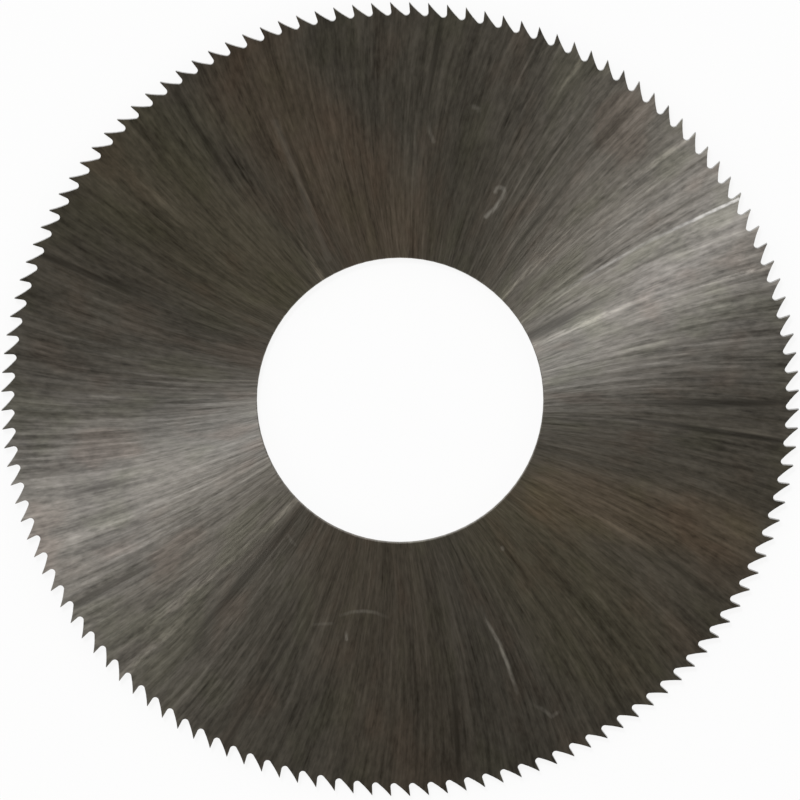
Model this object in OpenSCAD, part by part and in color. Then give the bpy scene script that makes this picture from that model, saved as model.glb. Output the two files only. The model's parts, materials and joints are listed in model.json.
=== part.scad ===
// Slitting saw: one thin ring of hardened steel, ground on both sides, with fine
// teeth all the way round. It lies on its side, Z is the axis of its bore, and
// Z = 0 is the side it lies on. Seen from above, the teeth point counter-clockwise.

/* [Disc] */
// Diameter over the tooth tips
outside_d = 44.2; // [40:0.1:50]
// Diameter of the bore
bore_d = 15.875; // [12:0.005:20]
// Thickness at the teeth
thickness = 0.64; // [0.4:0.02:1.6]
// Width of the flat ring round the bore, where the collars of an arbor clamp
hub_ring_w = 3.2; // [2:0.1:5]
// Width of the flat ring between the gullets and the relieved part of a side
rim_ring_w = 0.6; // [0.3:0.1:2]
// Depth ground off each side, from the rim ring down to the hub ring
side_relief = 0.015; // [0.005:0.005:0.04]
// Width of the bevel on the two edges of the bore
bore_edge_break = 0.04; // [0.02:0.01:0.1]

/* [Teeth] */
// Number of teeth
tooth_count = 132; // [120:4:144]
// Depth of a gullet below the tooth tips
tooth_depth = 0.72; // [0.55:0.01:0.85]
// Radius of the bottom of a gullet
gullet_r = 0.2; // [0.12:0.01:0.24]
// Radius of the hollow back of a tooth
back_r = 5; // [3:0.1:12]
// Angle that the cutting face leans back from the radius
rake_angle = 6; // [0:1:10]
// Width of the land left on a tooth tip
tip_land = 0.02; // [0.01:0.01:0.08]
// Angle from the X axis to the first cutting edge
first_tooth_angle = 1.45; // [0:0.05:2.7]

/* [Hidden] */

steel_colour = [0.25, 0.235, 0.2];

// The disc's rings, as radii from the bore outwards
bore_r = bore_d / 2;
hub_r = bore_r + hub_ring_w;
outside_r = outside_d / 2;
root_r = outside_r - tooth_depth;
rim_r = root_r - rim_ring_w;

// The teeth, as angles at the tip circle
pitch_angle = 360 / tooth_count;
land_angle = tip_land / outside_r * 180 / PI;

// One gullet, in a frame turned by the rake so that the cutting face runs along X.
// Its round bottom touches the root circle, and runs a hair past the cutting face
// and the tooth back, so that each meets it in one clean edge.
nose_overlap = 0.001;
flank_r = gullet_r - nose_overlap;
face_y = -outside_r * sin(rake_angle);
gullet_y = face_y + flank_r;
gullet = [sqrt(pow(root_r + gullet_r, 2) - pow(gullet_y, 2)), gullet_y];

// The back of the next tooth is an arc that starts at its heel, behind the land, and
// runs into the round bottom. Its centre lies off the line from the heel to the gullet.
heel_angle = pitch_angle - land_angle - rake_angle;
heel = outside_r * [cos(heel_angle), sin(heel_angle)];
heel_gap = norm(gullet - heel);
way = (gullet - heel) / heel_gap;
out_of_way = [-way.y, way.x];
foot_r = back_r - flank_r;
along = (pow(back_r, 2) - pow(foot_r, 2) + pow(heel_gap, 2)) / (2 * heel_gap);
across = sqrt(pow(back_r, 2) - pow(along, 2));
back = heel + along * way + across * out_of_way;
back_foot = back + back_r / foot_r * (gullet - back);

// A gullet is cut this far past the tips and past both sides. Past the tips it ends at
// the middle of the next tooth's land, clear of the next gullet.
cut_margin = 0.5;
land_middle_angle = heel_angle + land_angle / 2;
land_middle = [cos(land_middle_angle), sin(land_middle_angle)];

// Facets of a full turn and of a gullet's round bottom
$fn = 240;
gullet_fn = 32;

// Half of the disc's cross-section, from the bore to the tips
module disc_section() {
    top = thickness;
    polygon([
        [bore_r, side_relief + bore_edge_break],
        [bore_r + bore_edge_break, side_relief],
        [hub_r, side_relief],
        [rim_r, 0],
        [outside_r, 0],
        [outside_r, top],
        [rim_r, top],
        [hub_r, top - side_relief],
        [bore_r + bore_edge_break, top - side_relief],
        [bore_r, top - side_relief - bore_edge_break],
    ]);
}

// The gap between the cutting face of one tooth and the back of the next
module gullet_outline() {
    rotate(rake_angle) {
        translate(gullet)
            circle(r = gullet_r, $fn = gullet_fn);
        intersection() {
            translate(back)
                circle(r = back_r);
            polygon([
                [gullet.x, face_y],
                [outside_r + cut_margin, face_y],
                (outside_r + cut_margin) * land_middle,
                root_r * land_middle,
                back_foot,
            ]);
        }
    }
}

// The whole saw: the turned and ground disc, less its gullets
module saw_blade() {
    color(steel_colour)
        difference() {
            rotate_extrude()
                disc_section();
            for (tooth = [0 : tooth_count - 1])
                rotate(first_tooth_angle + tooth * pitch_angle)
                    translate([0, 0, -cut_margin])
                        linear_extrude(thickness + 2 * cut_margin)
                            gullet_outline();
        }
}

saw_blade();
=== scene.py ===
# %% [markdown]
# # A slitting saw, seen from above
# The part is one thin ring of hardened steel with fine teeth all round. Its shape comes
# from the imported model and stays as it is. What this lesson adds is the finish: both
# sides were ground, and the grinding left thousands of fine lines that catch the light.

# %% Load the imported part
import json
import math

import bpy
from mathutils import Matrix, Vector


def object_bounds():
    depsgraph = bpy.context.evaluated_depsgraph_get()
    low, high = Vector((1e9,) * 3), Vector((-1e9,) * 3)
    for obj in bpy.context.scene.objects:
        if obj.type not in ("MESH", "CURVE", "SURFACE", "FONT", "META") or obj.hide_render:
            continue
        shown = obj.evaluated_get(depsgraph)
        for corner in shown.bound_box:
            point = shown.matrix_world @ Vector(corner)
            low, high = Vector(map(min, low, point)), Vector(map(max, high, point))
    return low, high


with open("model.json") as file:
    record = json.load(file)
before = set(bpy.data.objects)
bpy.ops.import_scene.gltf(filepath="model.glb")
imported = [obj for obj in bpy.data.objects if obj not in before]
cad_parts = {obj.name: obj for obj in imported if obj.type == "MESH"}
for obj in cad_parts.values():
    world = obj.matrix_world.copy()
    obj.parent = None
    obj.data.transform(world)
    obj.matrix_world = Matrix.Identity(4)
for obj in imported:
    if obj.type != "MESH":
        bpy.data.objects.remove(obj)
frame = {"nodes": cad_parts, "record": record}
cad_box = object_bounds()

MM = 0.001
saw = frame["nodes"]["saw_blade"]
arbor_bore = next(m for m in frame["record"]["mounts"] if m["name"] == "arbor_bore")
bore_r = arbor_bore["dims"]["r_mm"] * MM
outside_r = (cad_box[1].x - cad_box[0].x) / 2
thickness = cad_box[1].z - cad_box[0].z
print(f"saw: outside radius {outside_r / MM:.2f} mm, bore radius {bore_r / MM:.2f} mm")
print(f"saw: thickness {thickness / MM:.2f} mm")

# %% [markdown]
# ## Camera
# The saw lies flat with +Y up in the picture. Its outline there isn't quite round: it is
# half a percent lower than wide, and the rim sits a hair above the middle of the bore.
# Both come from one thing: the camera stood about six degrees off the axis, towards the
# top. A long lens brings the tooth tips close to the edges of the picture.

# %% Where the camera stands
PICTURE_PX = 800
PX_PER_MM = 18.05
CAMERA_DISTANCE = 0.647
CAMERA_TILT = math.radians(5.87)
CAMERA_AZIMUTH = math.radians(91.4)
AIM = Vector((-0.0085 * MM, 0.0376 * MM, thickness))

off_axis = math.sin(CAMERA_TILT)
stand = Vector((
    off_axis * math.cos(CAMERA_AZIMUTH),
    off_axis * math.sin(CAMERA_AZIMUTH),
    math.cos(CAMERA_TILT),
))
print(f"camera: {CAMERA_DISTANCE} m away, {math.degrees(CAMERA_TILT):.2f} degrees off the axis")

# %% Camera over the saw
SENSOR_W = 36
NEAREST_SEEN = 0.01
FARTHEST_SEEN = 20

bpy.ops.object.select_all(action="DESELECT")
bpy.ops.object.camera_add(location=AIM + CAMERA_DISTANCE * stand)
camera = bpy.context.object
camera.name = "overhead_camera"
camera.rotation_euler = (-math.asin(stand.y), math.atan2(stand.x, stand.z), 0)
camera.data.sensor_width = SENSOR_W
camera.data.lens = SENSOR_W * PX_PER_MM * CAMERA_DISTANCE / MM / PICTURE_PX
camera.data.clip_start = NEAREST_SEEN
camera.data.clip_end = FARTHEST_SEEN
bpy.context.scene.camera = camera
bpy.context.scene.view_settings.view_transform = "Standard"
print(f"camera: a lens of {camera.data.lens:.0f} mm on a sensor {SENSOR_W} mm wide")

# %% [markdown]
# ## Helpers for shader nodes
# A finish is a tree of small nodes. It could be wired by hand in the shader editor, but in
# code every value stays in sight. The first helper adds one node and feeds its inputs with
# numbers or with other nodes' outputs. The second adds a Math node and hands back its
# output, so that a line of code reads like a formula.

# %% Nodes and maths
def add_node(tree, kind, feeds=None, **settings):
    """Add a node, set its properties, feed its inputs by name or number, and return it."""
    node = tree.nodes.new(kind)
    for name, value in settings.items():
        setattr(node, name, value)
    for name, value in (feeds or {}).items():
        if isinstance(value, bpy.types.NodeSocket):
            tree.links.new(value, node.inputs[name])
        else:
            node.inputs[name].default_value = value
    return node


def maths(tree, operation, *values, clamp=False):
    """One Math node: maths(tree, "ADD", a, b)."""
    feeds = dict(enumerate(values))
    node = add_node(tree, "ShaderNodeMath", feeds, operation=operation, use_clamp=clamp)
    return node.outputs[0]


print("helpers: add_node and maths")

# %% [markdown]
# ## Floor
# The picture's ground is plain white. The floor is a large pale sheet just under the
# saw. Seen directly, or in a reflection, most of it is an even white glow and the rest
# is ordinary paint, so it stays white and still takes the thin shadow of the saw.

# %% Sheet under the saw
FLOOR_SIZE = 12
FLOOR_GAP = 0.02 * MM

bpy.ops.object.select_all(action="DESELECT")
bpy.ops.mesh.primitive_plane_add(size=FLOOR_SIZE, location=(0, 0, -FLOOR_GAP))
bpy.ops.object.transform_apply(location=True, rotation=True, scale=True)
floor = bpy.context.object
floor.name = "white_floor"
print(f"floor: {FLOOR_SIZE} m wide, {FLOOR_GAP / MM:.2f} mm under the saw")

# %% White paint of the floor
FLOOR_PAINT = (0.92, 0.92, 0.92, 1)
FLOOR_GLOW = (1, 1, 1, 1)
FLOOR_GLOW_SHARE = 0.9

paint = bpy.data.materials.new("white_floor_paint")
paint.use_nodes = True
tree = paint.node_tree
tree.nodes.clear()
matt = add_node(tree, "ShaderNodeBsdfDiffuse", {"Color": FLOOR_PAINT})
glow = add_node(tree, "ShaderNodeEmission", {"Color": FLOOR_GLOW, "Strength": 1.0})
ray = add_node(tree, "ShaderNodeLightPath").outputs
mirrored = maths(tree, "MAXIMUM", ray["Is Glossy Ray"], ray["Is Transmission Ray"])
seen = maths(tree, "MAXIMUM", ray["Is Camera Ray"], mirrored)
share = maths(tree, "MULTIPLY", seen, FLOOR_GLOW_SHARE)
mix = add_node(tree, "ShaderNodeMixShader", {0: share, 1: matt.outputs[0], 2: glow.outputs[0]})
add_node(tree, "ShaderNodeOutputMaterial", {"Surface": mix.outputs[0]})
floor.data.materials.append(paint)
print(f"paint: white, {FLOOR_GLOW_SHARE:.0%} glow where it is seen")

# %% [markdown]
# ## Ramps and blends
# Two more helpers. A ramp turns a value into a smooth step, for soft edges of all kinds.
# A blend mixes two colours, or two vectors, by a share. Blender's Mix node has its own
# sockets for each kind of data, so a small table says which ones to use.

# %% Ramp and blend
MIX_SOCKETS = {"RGBA": (6, 7, 2), "VECTOR": (4, 5, 1)}


def ramp(tree, value, low, high, out_low=0.0, out_high=1.0):
    """Turn a value between low and high into a smooth step from out_low to out_high."""
    feeds = {
        "Value": value, "From Min": low, "From Max": high,
        "To Min": out_low, "To Max": out_high,
    }
    node = add_node(tree, "ShaderNodeMapRange", feeds, interpolation_type="SMOOTHSTEP")
    return node.outputs["Result"]


def blend(tree, share, first, second, mode="MIX", kind="RGBA"):
    """Mix two colours, or two vectors with kind="VECTOR", by a share from 0 to 1."""
    first_in, second_in, mixed = MIX_SOCKETS[kind]
    feeds = {0: share, first_in: first, second_in: second}
    node = add_node(tree, "ShaderNodeMix", feeds, data_type=kind, blend_type=mode)
    return node.outputs[mixed]


print(f"helpers: ramp, and blend for {len(MIX_SOCKETS)} kinds of data")

# %% [markdown]
# ## Room
# Polished or ground metal shows the room more than its own colour. Looking almost
# straight down on the saw, the camera sees the ceiling in it, so the ceiling's grey sets
# how dark the steel looks. The walls are white, which also keeps low views bright.

# %% Room light
WALL_LIGHT = (1.0, 1.0, 1.0, 1)
CEILING_LIGHT = (0.198, 0.184, 0.148, 1)
WALL_TOP = math.sin(math.radians(25))
CEILING_EDGE = math.sin(math.radians(50))

room = bpy.data.worlds.new("studio_room")
bpy.context.scene.world = room
room.use_nodes = True
tree = room.node_tree
tree.nodes.clear()
look = add_node(tree, "ShaderNodeTexCoord").outputs["Generated"]
way_up = add_node(tree, "ShaderNodeSeparateXYZ", {0: look}).outputs["Z"]
ceiling_share = ramp(tree, way_up, WALL_TOP, CEILING_EDGE)
room_colour = blend(tree, ceiling_share, WALL_LIGHT, CEILING_LIGHT)
background = add_node(tree, "ShaderNodeBackground", {"Color": room_colour, "Strength": 1.0})
add_node(tree, "ShaderNodeOutputWorld", {"Surface": background.outputs[0]})
print(f"room: white walls under a ceiling with a light of {CEILING_LIGHT[:3]}")

# %% [markdown]
# ## Lamps
# Ground lines throw light sideways, like the grooves of a record. A lamp makes two bright
# fans on the saw, where the lines run square to the lamp's direction. The bright fans run
# to the right and to the left here, so the main softbox stands beyond the top of the
# picture. A second one beside it gives each fan its longer tail, and a weak warm one
# tints the steel between the fans.

# %% Softboxes
LAMP_DISTANCE = 1.4
SOFTBOXES = {
    "main_softbox": dict(
        azimuth=112, zenith=30, size=0.22, watts=8.3, colour=(0.91, 0.935, 1.0),
    ),
    "second_softbox": dict(
        azimuth=137, zenith=30, size=0.22, watts=1.5, colour=(1.0, 0.99, 0.97),
    ),
    "warm_softbox": dict(
        azimuth=47, zenith=40, size=0.5, watts=0.48, colour=(1.0, 0.8, 0.5),
    ),
}

for name, box in SOFTBOXES.items():
    turned, leaned = math.radians(box["azimuth"]), math.radians(box["zenith"])
    level = math.sin(leaned)
    way = Vector((math.cos(turned) * level, math.sin(turned) * level, math.cos(leaned)))
    bpy.ops.object.select_all(action="DESELECT")
    bpy.ops.object.light_add(type="AREA", location=way * LAMP_DISTANCE)
    lamp = bpy.context.object
    lamp.name = name
    lamp.rotation_euler = way.to_track_quat("Z", "Y").to_euler()
    lamp.data.size = box["size"]
    lamp.data.energy = box["watts"]
    lamp.data.color = box["colour"]
    print(f"lamp {name}: {box['watts']} W from {box['azimuth']} degrees")

# %% [markdown]
# ## The lay of the grinding lines
# Each side was ground on a turning table by a wheel that passes close to the middle. Every
# grain of the wheel cuts an arc of the wheel's own radius, so the lines aren't quite
# radial: they lean one way near the bore and the other way near the teeth. For a point
# of the side, the law of cosines says which arc it lies on. That arc is named by the
# direction of the wheel's axis when it was cut.

# %% Places on the steel
def vectors(tree, operation, *values):
    """One Vector Math node. LENGTH, DOT_PRODUCT and DISTANCE answer with a number."""
    feeds = dict(enumerate(values))
    if operation == "SCALE":
        feeds = {0: values[0], "Scale": values[1]}
    node = add_node(tree, "ShaderNodeVectorMath", feeds, operation=operation)
    is_number = operation in ("LENGTH", "DOT_PRODUCT", "DISTANCE")
    return node.outputs["Value" if is_number else "Vector"]


steel = bpy.data.materials.new("ground_steel")
steel.use_nodes = True
tree = steel.node_tree
tree.nodes.clear()

own = add_node(tree, "ShaderNodeTexCoord").outputs
place = vectors(tree, "SCALE", own["Object"], 1 / MM)
flat_place = vectors(tree, "MULTIPLY", place, (1, 1, 0))
radius = vectors(tree, "LENGTH", flat_place)
facing = own["Normal"]
facing_up = vectors(tree, "DOT_PRODUCT", facing, (0, 0, 1))
print("places: millimetres from the middle of the bore")

# %% The arc through each point
WHEEL_R = 63.0
WHEEL_REACH = 64.3

radius_squared = maths(tree, "POWER", radius, 2.0)
side_sum = maths(tree, "ADD", radius_squared, WHEEL_REACH ** 2 - WHEEL_R ** 2)
twice_reach = maths(tree, "MULTIPLY", radius, 2 * WHEEL_REACH)
turn_cosine = maths(tree, "DIVIDE", side_sum, twice_reach)
turn = maths(tree, "ARCCOSINE", turn_cosine)
outward = vectors(tree, "NORMALIZE", flat_place)
turn_back = maths(tree, "MULTIPLY", turn, -1.0)
arc_name = add_node(
    tree, "ShaderNodeVectorRotate", {"Vector": outward, "Angle": turn_back},
    rotation_type="Z_AXIS",
).outputs[0]
wheel_axis = vectors(tree, "SCALE", arc_name, WHEEL_REACH)
from_axis = vectors(tree, "SUBTRACT", flat_place, wheel_axis)
across_lines = vectors(tree, "NORMALIZE", from_axis)
miss = WHEEL_REACH - WHEEL_R
print(f"lay: arcs of {WHEEL_R} mm radius that pass {miss:.1f} mm from the middle")

# %% [markdown]
# ## Streaks
# A streak is a noise that changes fast across the lines and slowly along them. The arc's
# name feeds two of the noise's axes and the radius feeds the third, so each streak
# follows its arc, and no seam shows where a full turn closes. The underside takes its
# streaks from another part of the noise, so that the two sides differ.

# %% Streak noise
FACES_DOWN = -0.5
UNDERSIDE_SHIFT = 50.0
NOISE_ROUGHNESS = 0.6
NOISE_MIDDLE = 0.5

underside = maths(tree, "LESS_THAN", facing_up, FACES_DOWN)
underside_shift = maths(tree, "MULTIPLY", underside, UNDERSIDE_SHIFT)


def streaks(fineness, length_mm, detail, shift):
    """Noise around 0, drawn out along the grinding lines."""
    spread = vectors(tree, "SCALE", arc_name, fineness)
    start = maths(tree, "ADD", underside_shift, shift)
    run = maths(tree, "MULTIPLY_ADD", radius, 1 / length_mm, start)
    along = add_node(tree, "ShaderNodeCombineXYZ", {"Z": run}).outputs[0]
    feeds = {
        "Vector": vectors(tree, "ADD", spread, along), "Scale": 1.0,
        "Detail": detail, "Roughness": NOISE_ROUGHNESS,
    }
    noise = add_node(tree, "ShaderNodeTexNoise", feeds, noise_dimensions="3D").outputs["Fac"]
    return maths(tree, "SUBTRACT", noise, NOISE_MIDDLE)


print(f"streak noise: the underside's is moved by {UNDERSIDE_SHIFT:.0f}")

# %% [markdown]
# ## Sizes of streaks
# One noise would look like combed hair. The real surface has several sizes at once: single
# lines, bundles of lines, broad bands where the wheel bit a little more or less, short
# grain where a line breaks off, and a few lone lines that a coarse grain of the wheel cut
# deeper.

# %% Five sizes of streaks
single_lines = streaks(fineness=180, length_mm=2.5, detail=2, shift=3.1)
line_bundles = streaks(fineness=64, length_mm=4.0, detail=2, shift=17.3)
broad_bands = streaks(fineness=19, length_mm=6.0, detail=1, shift=120.6)
short_grain = streaks(fineness=90, length_mm=0.6, detail=2, shift=41.7)
lone_lines = streaks(fineness=50, length_mm=7.0, detail=1, shift=88.2)
print("streaks: single lines, bundles, broad bands, short grain and lone lines")

# %% [markdown]
# ## Shade of the streaks
# The streaks are added up into one number that makes the steel lighter or darker. Of the
# lone lines only the peaks of the noise show. The steel is also made brighter near the bore
# than at the rim.

# %% Light and dark streaks
LONE_FROM, LONE_FULL = 0.13, 0.26
LONE_LIGHT, LONE_DARK = 0.28, -0.2
BRIGHT_TO, DULL_FROM = 8.5, 21.0
BORE_SHADE, RIM_SHADE = 1.05, 0.92

lone_light = ramp(tree, lone_lines, LONE_FROM, LONE_FULL, 0, LONE_LIGHT)
lone_dark = ramp(tree, lone_lines, -LONE_FROM, -LONE_FULL, 0, LONE_DARK)
shade = ramp(tree, radius, BRIGHT_TO, DULL_FROM, BORE_SHADE, RIM_SHADE)
SWINGS = (
    (single_lines, 0.55), (line_bundles, 0.86), (broad_bands, 0.7), (short_grain, 1.0),
    (lone_light, 1.0), (lone_dark, 1.0),
)
for streak, swing in SWINGS:
    shade = maths(tree, "MULTIPLY_ADD", streak, swing, shade)
print(f"shade: {BORE_SHADE} at the bore, {RIM_SHADE} at the rim, {len(SWINGS)} streaks added")

# %% [markdown]
# ## Places in the picture
# Strong lines, stains, patches of painted light and shade, and scratches lie where the
# picture shows them. A place in the picture turns into millimetres on the saw: a ray from
# the lens through that pixel meets the upper side there. The marks are on the upper side
# only, since the other one isn't seen.

# %% From a pixel to the saw
SIDE_FROM, SIDE_FULL = 0.5, 0.9


def spot(x, y):
    """Place on the upper side, in millimetres, of a pixel of the picture."""
    middle = (PICTURE_PX - 1) / 2
    ray = Vector((x - middle, middle - y, -PX_PER_MM * CAMERA_DISTANCE / MM))
    ray.rotate(camera.rotation_euler)
    meet = camera.location + ray * ((thickness - camera.location.z) / ray.z)
    return Vector((meet.x / MM, meet.y / MM, 0))


upper_side = ramp(tree, facing_up, SIDE_FROM, SIDE_FULL)
corner = spot(0, 0)
print(f"places: the picture's top left corner is at {corner.x:.2f}, {corner.y:.2f} mm")

# %% [markdown]
# ## Strong lines
# Most of the lines are left to the noise. The strongest ones are put where they are, and
# each makes the shade lighter or darker by a share. Such a line is a long, thin spindle.
# The way along it and the way across it are measured as shares of its length and width,
# and the sum of their squares is 0 in its middle and 1 at its edge. A line that fades in
# from the rim or the bore has its middle there, so one of its ends lies off the steel.

# %% Where the strong lines are
# From pixel, to pixel, width in millimetres, and the share of light that it adds
STRONG_LINES = (
    ((224, 565), (139, 633), 0.35, 0.58),
    ((141, 513), (53, 544), 0.25, 0.30),
    ((558, 93), (592, 43), 0.27, 0.61),
    ((317, 478), (265, 530), 0.26, 0.85),
    ((623, 186), (710, 122), 0.27, 0.52),
    ((335, 297), (303, 247), 0.26, 0.95),
    ((500, 359), (640, 299), 0.29, 0.54),
    ((708, 283), (800, 257), 0.27, 0.54),
    ((495, 304), (567, 232), 0.26, 0.62),
    ((190, 612), (80, 711), 0.46, 0.55),
    ((146, 567), (20, 635), 0.46, -0.51),
    ((470, 367), (602, 299), 0.51, -0.46),
    ((453, 685), (459, 770), 0.34, -0.39),
    ((138, 295), (-36, 221), 0.36, -0.50),
    ((640, 420), (850, 450), 0.28, -0.58),
    ((650, 402), (785, 403), 0.42, -0.54),
    ((425, 110), (446, -15), 0.35, -0.33),
    ((126, 480), (70, 493), 0.30, -0.33),
    ((299, 512), (191, 642), 0.67, -0.37),
    ((512, 250), (580, 167), 0.27, -0.33),
    ((301, 619), (161, 849), 0.27, -0.28),
    ((642, 546), (719, 599), 0.43, -0.20),
    ((281, 119), (313, 205), 0.25, -0.26),
)
lighter = sum(gain > 0 for *_, gain in STRONG_LINES)
print(f"strong lines: {lighter} lighter and {len(STRONG_LINES) - lighter} darker")

# %% Strong lines in the shade
SPINDLE = 0.7
GRAIN_GAP, GRAIN_FULL = -0.2, 0.1
GRAIN_LEAST = 0.5

line_sum = 0.0
for start, end, width_mm, gain in STRONG_LINES:
    first, last = spot(*start), spot(*end)
    way = last - first
    along = way / (SPINDLE * way.length_squared)
    across = Vector((-way.y, way.x, 0)) / (SPINDLE * width_mm * way.length)
    reach = vectors(tree, "SUBTRACT", flat_place, (first + last) / 2)
    lengthwise = vectors(tree, "DOT_PRODUCT", reach, along)
    sideways = vectors(tree, "DOT_PRODUCT", reach, across)
    sideways_squared = maths(tree, "MULTIPLY", sideways, sideways)
    gap = maths(tree, "MULTIPLY_ADD", lengthwise, lengthwise, sideways_squared)
    line_sum = maths(tree, "ADD", ramp(tree, gap, 1.0, 0.0, 0.0, gain), line_sum)

# The short grain breaks the lines up
skip = ramp(tree, short_grain, GRAIN_GAP, GRAIN_FULL, GRAIN_LEAST, 1.0)
shown = maths(tree, "MULTIPLY", upper_side, skip)
line_share = maths(tree, "MULTIPLY_ADD", line_sum, shown, 1.0)
shade = maths(tree, "MULTIPLY", shade, line_share)
shade_colour = add_node(
    tree, "ShaderNodeCombineColor", {0: shade, 1: shade, 2: shade},
).outputs[0]
print(f"shade: with {len(STRONG_LINES)} strong lines")

# %% [markdown]
# ## Stains, painted light and shade, and scratches as strokes
# Other marks don't follow the lines. Such a mark is a chain of straight strokes, and the
# distance to the nearest stroke says how much of the mark shows. A painted picture could
# hold the marks too, but strokes stay sharp at any size.

# %% Marks made of strokes
def stroke_distance(start, end):
    """Distance in millimetres from a straight stroke between two pixels."""
    first, way = spot(*start), spot(*end) - spot(*start)
    reach = vectors(tree, "SUBTRACT", flat_place, first)
    share = vectors(tree, "DOT_PRODUCT", reach, way / way.length_squared)
    share = maths(tree, "ADD", share, 0.0, clamp=True)
    nearest = vectors(tree, "SCALE", way[:], share)
    return vectors(tree, "LENGTH", vectors(tree, "SUBTRACT", reach, nearest))


def mark(points, full_mm, fade_mm, strength=1.0):
    """A chain of strokes: full strength up to full_mm away, gone at fade_mm."""
    nearest = None
    for start, end in zip(points, points[1:]):
        gap = stroke_distance(start, end)
        nearest = gap if nearest is None else maths(tree, "MINIMUM", nearest, gap)
    shown = ramp(tree, nearest, fade_mm, full_mm, 0.0, strength)
    return maths(tree, "MULTIPLY", shown, upper_side)


print("helpers: stroke_distance and mark")

# %% [markdown]
# ## Colour
# The steel is a dark grey with a warm cast. Old oil has dried on it and tints it, brown
# in some patches and olive in others. The brown patch on the right is also lighter, which
# is painted light. The patches that are only darker or duller are painted shade, and two
# lighter ones at the bright fan on the right are a painted highlight. Each patch
# multiplies the steel's colour by its own tint.

# %% Where the stains and the painted light and shade are
STAINS_AND_PAINTED_LIGHT = {
    "brown, top": dict(
        points=[(385, 226), (252, 83)], full_mm=1.0, fade_mm=4.2, tint=(1.17, 1.06, 0.99, 1),
    ),
    # Browner than the steel around it, and lighter: the lighter part is painted light
    "brown and painted light, right": dict(
        points=[(551, 494), (729, 532)], full_mm=0.6, fade_mm=2.5, tint=(1.29, 1.18, 1.09, 1),
    ),
    "brown, bottom": dict(
        points=[(365, 560), (410, 760)], full_mm=1.5, fade_mm=5.0, tint=(1.03, 0.985, 0.95, 1),
    ),
    "olive, top": dict(
        points=[(250, 270), (120, 160)], full_mm=1.5, fade_mm=4.5, tint=(1.00, 1.00, 0.93, 1),
    ),
    "olive, bottom": dict(
        points=[(520, 540), (610, 650)], full_mm=1.5, fade_mm=4.5, tint=(1.03, 1.03, 0.95, 1),
    ),
    # Painted shade: the steel made darker at the bottom, the upper left and the top
    "painted shade, bottom": dict(
        points=[(445, 640), (480, 770)], full_mm=2.0, fade_mm=6.5, tint=(0.90, 0.90, 0.91, 1),
    ),
    "painted shade, upper left": dict(
        points=[(195, 300), (85, 216)], full_mm=1.2, fade_mm=3.0, tint=(0.84, 0.84, 0.84, 1),
    ),
    "painted shade, top": dict(
        points=[(450, 215), (462, 165)], full_mm=0.8, fade_mm=2.4, tint=(0.86, 0.86, 0.85, 1),
    ),
    # Painted shade: darker patches that dim the two bright fans
    "painted shade, left of the bore": dict(
        points=[(165, 422), (250, 431)], full_mm=0.8, fade_mm=2.4, tint=(0.82, 0.83, 0.84, 1),
    ),
    "painted shade, right of the bore": dict(
        points=[(558, 338), (574, 390)], full_mm=0.7, fade_mm=2.5, tint=(0.85, 0.86, 0.86, 1),
    ),
    "painted shade, left rim": dict(
        points=[(92, 475), (122, 540)], full_mm=1.0, fade_mm=2.8, tint=(0.87, 0.87, 0.88, 1),
    ),
    # Painted highlight: lighter patches at the bright fan on the right
    "painted highlight, right": dict(
        points=[(655, 280), (722, 216)], full_mm=0.5, fade_mm=1.8, tint=(1.16, 1.16, 1.18, 1),
    ),
    "painted highlight, top right": dict(
        points=[(572, 228), (602, 196)], full_mm=0.7, fade_mm=2.3, tint=(1.13, 1.13, 1.13, 1),
    ),
}
print(f"stains: {len(STAINS_AND_PAINTED_LIGHT)} patches")

# %% Steel colour
STEEL = (0.165, 0.152, 0.132, 1)
BROWN_STEEL = (0.172, 0.150, 0.128, 1)
OLIVE_STEEL = (0.162, 0.153, 0.126, 1)
BROWN_FROM, BROWN_FULL = 0.02, 0.18
OLIVE_FROM, OLIVE_FULL = -0.02, -0.16

tarnish = streaks(fineness=6, length_mm=5.0, detail=2, shift=63.9)
brown_share = ramp(tree, tarnish, BROWN_FROM, BROWN_FULL)
colour = blend(tree, brown_share, STEEL, BROWN_STEEL)
olive_share = ramp(tree, tarnish, OLIVE_FROM, OLIVE_FULL)
colour = blend(tree, olive_share, colour, OLIVE_STEEL)
# Stains, and patches of painted shade and painted highlight, multiply the colour
for tinted_patch in STAINS_AND_PAINTED_LIGHT.values():
    shown = mark(tinted_patch["points"], tinted_patch["full_mm"], tinted_patch["fade_mm"])
    colour = blend(tree, shown, colour, tinted_patch["tint"], "MULTIPLY")
colour = blend(tree, 1.0, colour, shade_colour, "MULTIPLY")
print(f"colour: warm dark steel {STEEL[:3]} with {len(STAINS_AND_PAINTED_LIGHT)} stains")

# %% [markdown]
# ## Scratches
# A scratch lays bare clean metal, so it is lighter than the ground steel around it. It
# is deepest at one spot and runs out from there, and the short grain breaks it up, as a
# burr does when it skips over the lines. Each scratch is given by its points, its deepest
# spot, how far it runs from there, how wide it fades out, and its strength.

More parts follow.
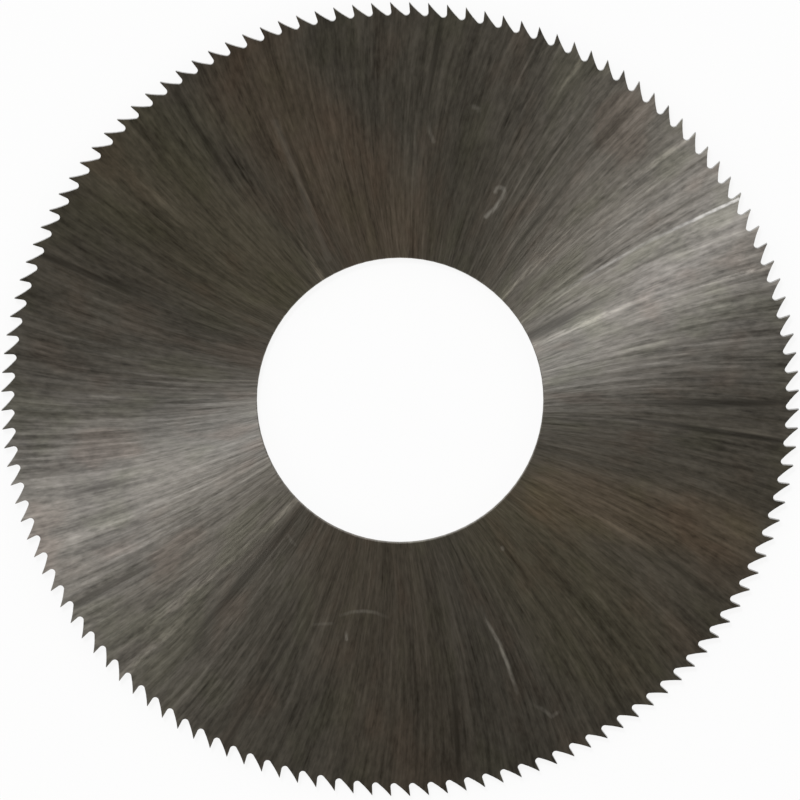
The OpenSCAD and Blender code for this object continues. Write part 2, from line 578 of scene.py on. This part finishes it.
# %% Where the scratches are
SCRATCHES = {
    "hook": dict(
        points=[
            (494.8, 191.0), (496.0, 188.0), (499.5, 186.5), (503.0, 188.0),
            (504.2, 191.5), (502.0, 197.0), (495.0, 207.0), (485.5, 216.0),
        ],
        deepest=(488, 213), run_mm=3.6, fade_mm=0.19, strength=0.56,
    ),
    "groove": dict(
        points=[(546, 300), (600, 268), (652, 239), (738, 198.5)],
        deepest=(640, 246), run_mm=9.0, fade_mm=0.14, strength=0.22,
    ),
    "groove, end": dict(
        points=[(652, 239), (738, 198.5)],
        deepest=(728, 203), run_mm=4.6, fade_mm=0.13, strength=0.58,
    ),
    "arc": dict(
        points=[(340, 615), (351, 611.5), (363, 610.5), (375, 612.0), (387, 617)],
        deepest=(362, 611), run_mm=1.9, fade_mm=0.15, strength=0.30,
    ),
    "arc, end": dict(
        points=[(312, 624), (332, 623)],
        deepest=(324, 623), run_mm=1.3, fade_mm=0.13, strength=0.16,
    ),
    "line": dict(
        points=[(478, 602), (488, 624), (499, 643), (508, 667), (517, 693)],
        deepest=(502, 651), run_mm=3.2, fade_mm=0.16, strength=0.82,
    ),
    "curl": dict(
        points=[(529, 703), (541, 708), (551, 716), (557, 712)],
        deepest=(552, 715), run_mm=1.6, fade_mm=0.17, strength=0.29,
    ),
    "bend": dict(
        points=[(428, 121), (429, 131), (433, 141)],
        deepest=(431, 137), run_mm=1.2, fade_mm=0.19, strength=0.27,
    ),
    "bow": dict(
        points=[(288, 535), (291, 541), (296, 545)],
        deepest=(291, 541), run_mm=0.8, fade_mm=0.14, strength=0.16,
    ),
    "nick, low": dict(
        points=[(345.5, 630), (346, 639)],
        deepest=(346, 638), run_mm=0.5, fade_mm=0.13, strength=0.60,
    ),
    "nick, bore": dict(
        points=[(501.5, 547), (502.5, 549)],
        deepest=(502, 548), run_mm=0.4, fade_mm=0.14, strength=0.35,
    ),
    "nick, top": dict(
        points=[(472, 106), (478, 108), (479, 114)],
        deepest=(476, 107), run_mm=0.7, fade_mm=0.22, strength=0.21,
    ),
}
print(f"scratches: {len(SCRATCHES)} light ones")

# %% Scratches in the colour
BARE_STEEL = (0.62, 0.60, 0.56, 1)
SCRATCH_CORE = 0.02

for scratch in SCRATCHES.values():
    away = vectors(tree, "DISTANCE", flat_place, spot(*scratch["deepest"]))
    depth = ramp(tree, away, scratch["run_mm"], 0.0, 0.0, scratch["strength"])
    line = mark(scratch["points"], SCRATCH_CORE, scratch["fade_mm"])
    shown = maths(tree, "MULTIPLY", line, maths(tree, "MULTIPLY", depth, skip))
    colour = blend(tree, shown, colour, BARE_STEEL)
print(f"scratches: bare steel {BARE_STEEL[:3]} in {len(SCRATCHES)} places")

# %% [markdown]
# ## A dark line and a pale streak
# Two marks keep one strength over their whole length. A dark line near the top left holds
# old dirt, and a pale streak runs from the bore almost to the rim.

# %% Two even marks
DARK_STEEL = (0.07, 0.064, 0.055, 1)
DARK_LINE = dict(points=[(176, 92), (230, 179)], full_mm=0.05, fade_mm=0.30, strength=0.35)
PALE_STREAK = dict(points=[(275, 121), (328, 258.5)], full_mm=0.03, fade_mm=0.27, strength=0.12)

colour = blend(tree, mark(**DARK_LINE), colour, DARK_STEEL)
colour = blend(tree, mark(**PALE_STREAK), colour, BARE_STEEL)
print("even marks: a dark line and a pale streak")

# %% [markdown]
# ## Cut surfaces
# The walls of the gullets and of the bore were not ground with the sides. A gullet was
# cut along the saw's axis, so its lines stand upright. The bore was ground by a small
# wheel inside it, so its lines run round. Both show only in low views.

# %% Finish of the walls
BORE_NEAR, BORE_FAR = 0.3, 0.6

wall = ramp(tree, maths(tree, "ABSOLUTE", facing_up), SIDE_FULL, SIDE_FROM)
bore_wall = ramp(tree, radius, bore_r / MM + BORE_FAR, bore_r / MM + BORE_NEAR)
upright = (0, 0, 1)
round_about = vectors(tree, "CROSS_PRODUCT", upright, facing)
level = vectors(tree, "NORMALIZE", round_about)
across_cut = blend(tree, bore_wall, level, upright, kind="VECTOR")
print("walls: upright lines in the gullets, round lines in the bore")

# %% [markdown]
# ## Gloss
# Across the lines the surface is rough, and along them it is smooth. The shader calls
# that anisotropy, and its tangent points the rough way. No two passes of the wheel ran
# quite alike, so the tangent sways a little from streak to streak: that breaks a fan up
# into brighter and duller rays.

# %% Which way the steel is rough
SWAY = 0.38

sway_noise = streaks(fineness=80, length_mm=8.0, detail=2, shift=29.4)
sway = maths(tree, "MULTIPLY", sway_noise, SWAY)
swayed = add_node(
    tree, "ShaderNodeVectorRotate", {"Vector": across_lines, "Angle": sway},
    rotation_type="Z_AXIS",
).outputs[0]
tangent = blend(tree, wall, swayed, across_cut, kind="VECTOR")
print(f"rough way: across the lines, with a sway of {SWAY}")

# %% Gloss and relief of the lines
ROUGHNESS = 0.40
ROUGHNESS_SWING = 0.12
ANISOTROPY = 0.9
LINE_DEPTH = 0.002 * MM

roughness = maths(tree, "MULTIPLY_ADD", line_bundles, ROUGHNESS_SWING, ROUGHNESS)
rough_way = add_node(
    tree, "ShaderNodeVectorTransform", {0: tangent},
    vector_type="VECTOR", convert_from="OBJECT", convert_to="WORLD",
).outputs[0]
relief = add_node(
    tree, "ShaderNodeBump",
    {"Strength": 1.0, "Distance": LINE_DEPTH, "Height": single_lines},
).outputs[0]
shader = add_node(
    tree, "ShaderNodeBsdfPrincipled",
    {
        "Base Color": colour, "Roughness": roughness, "Normal": relief,
        "Tangent": rough_way, "Metallic": 1.0, "Anisotropic": ANISOTROPY,
    },
)
add_node(tree, "ShaderNodeOutputMaterial", {"Surface": shader.outputs[0]})
saw.data.materials.clear()
saw.data.materials.append(steel)
print(f"material: ground_steel on saw_blade, {len(tree.nodes)} nodes")
